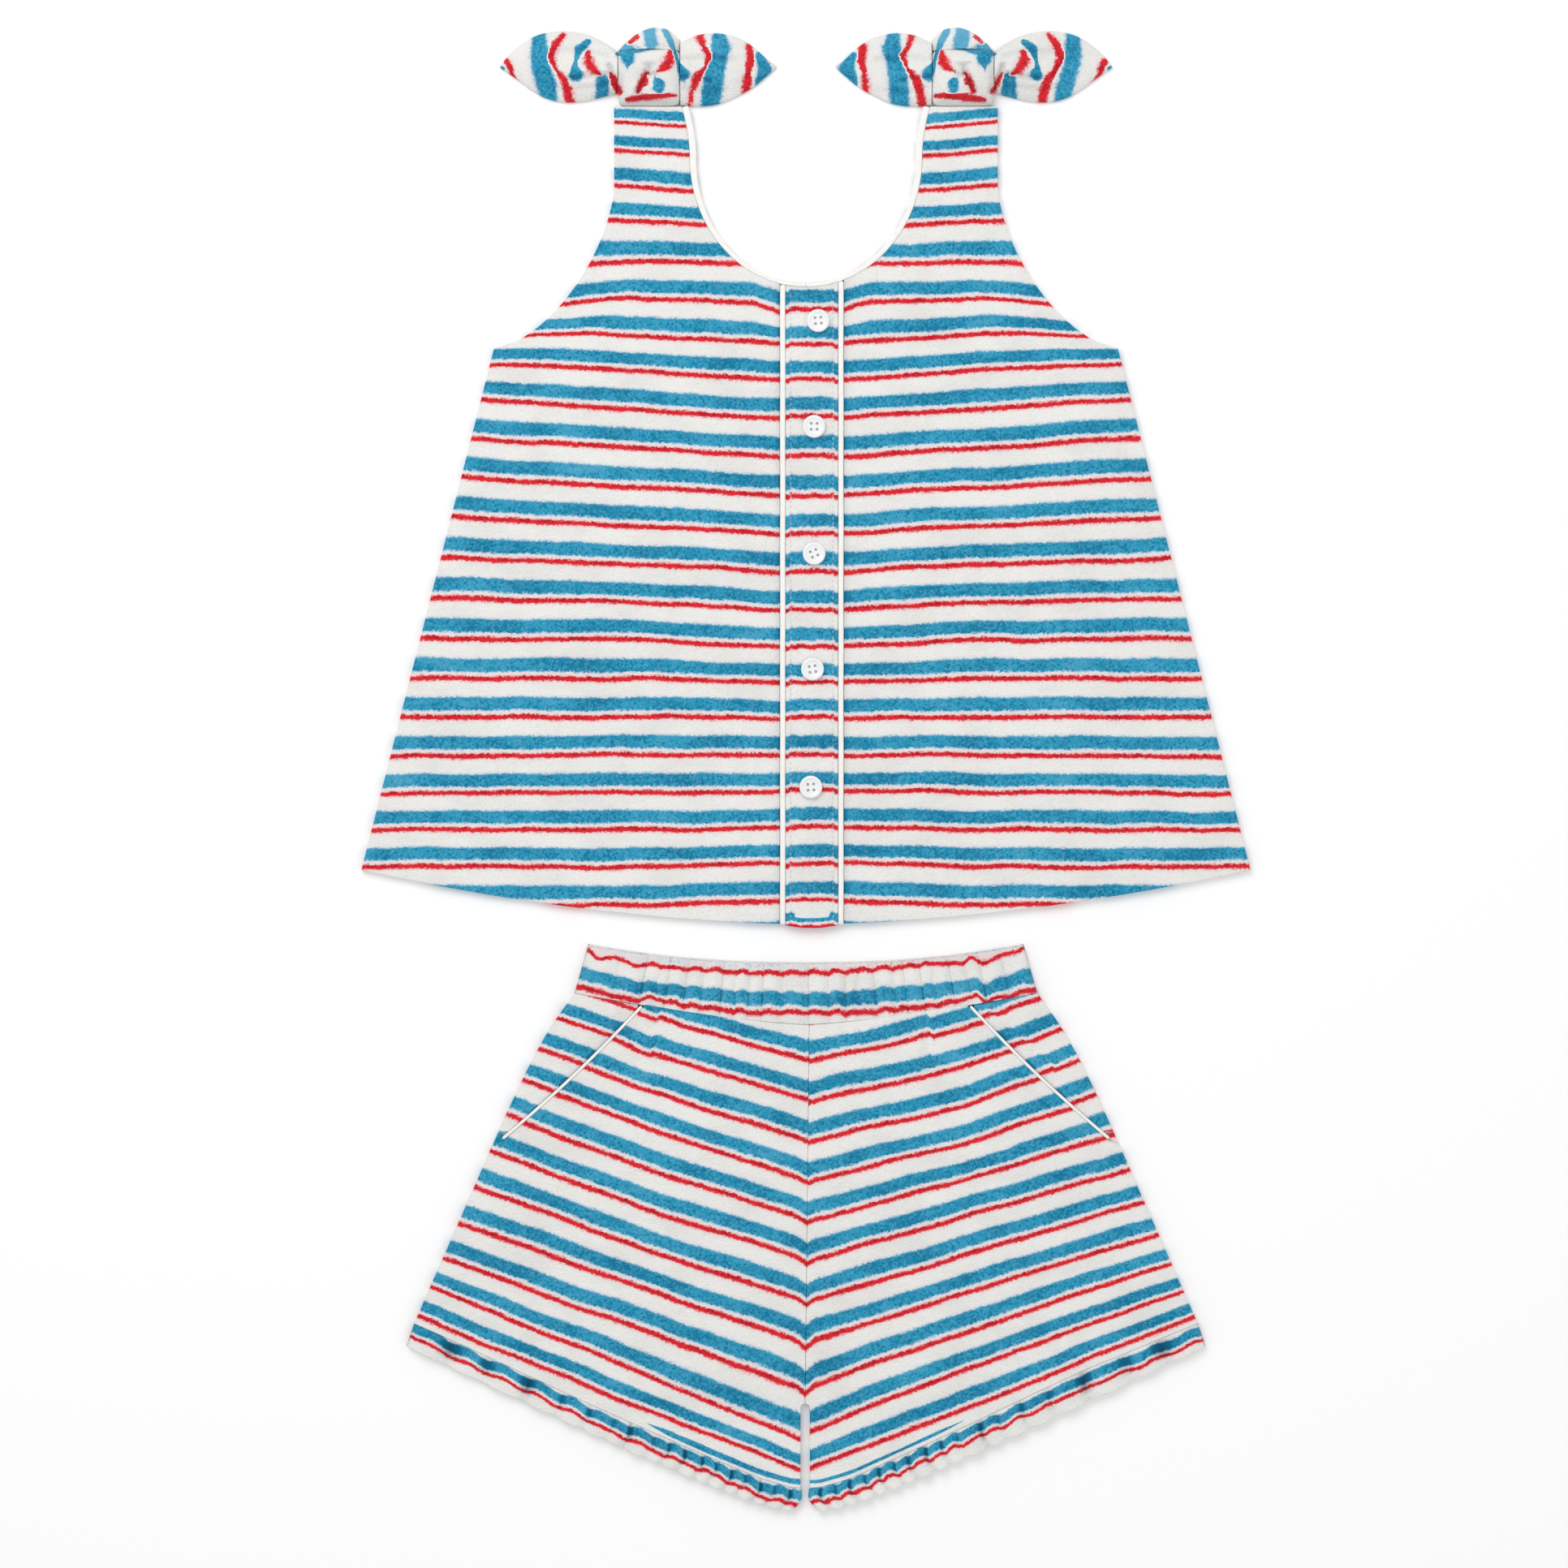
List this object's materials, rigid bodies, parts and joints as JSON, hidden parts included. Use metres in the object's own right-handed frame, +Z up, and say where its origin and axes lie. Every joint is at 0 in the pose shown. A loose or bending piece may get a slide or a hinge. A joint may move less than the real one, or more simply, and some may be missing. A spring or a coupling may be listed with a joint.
{
  "type": "two-piece towelling top and shorts set",
  "caption": "Child's striped towelling set laid flat: a sleeveless A-line top with tied shoulder bows and a button band, and gathered shorts with slanted pockets and frilled hems",
  "frame": {"origin": "on the resting surface, under the middle of the laid-out set's box", "axes": "+X to the viewer's right across the set, +Y from the shorts up to the shoulder bows, +Z up off the surface"},
  "size_m": [0.4376, 0.7302, 0.0142],
  "materials": {
    "towelling": "looped pile, striped",
    "white_trim": "plain white piping",
    "button": "satin white"
  },
  "bodies": {
    "root": {"band_piping_left": "white_trim", "band_piping_right": "white_trim", "bow_left_inner_end": "towelling", "bow_left_knot": "towelling", "bow_left_loop": "towelling", "bow_left_outer_end": "towelling", "bow_right_inner_end": "towelling", "bow_right_knot": "towelling", "bow_right_loop": "towelling", "bow_right_outer_end": "towelling", "button_1": "button", "button_2": "button", "button_3": "button", "button_4": "button", "button_5": "button", "button_band": "towelling", "frill_back_left": "towelling", "frill_back_right": "towelling", "frill_front_left": "towelling", "frill_front_right": "towelling", "neck_binding_left": "white_trim", "neck_binding_right": "white_trim", "pocket_piping_left": "white_trim", "pocket_piping_right": "white_trim", "pocket_side_left": "towelling", "pocket_side_right": "towelling", "shorts_back_left": "towelling", "shorts_back_right": "towelling", "shorts_front_left": "towelling", "shorts_front_right": "towelling", "top_back": "towelling", "top_front_left": "towelling", "top_front_right": "towelling", "waistband_back": "towelling", "waistband_front": "towelling"}
  },
  "joints": []
}
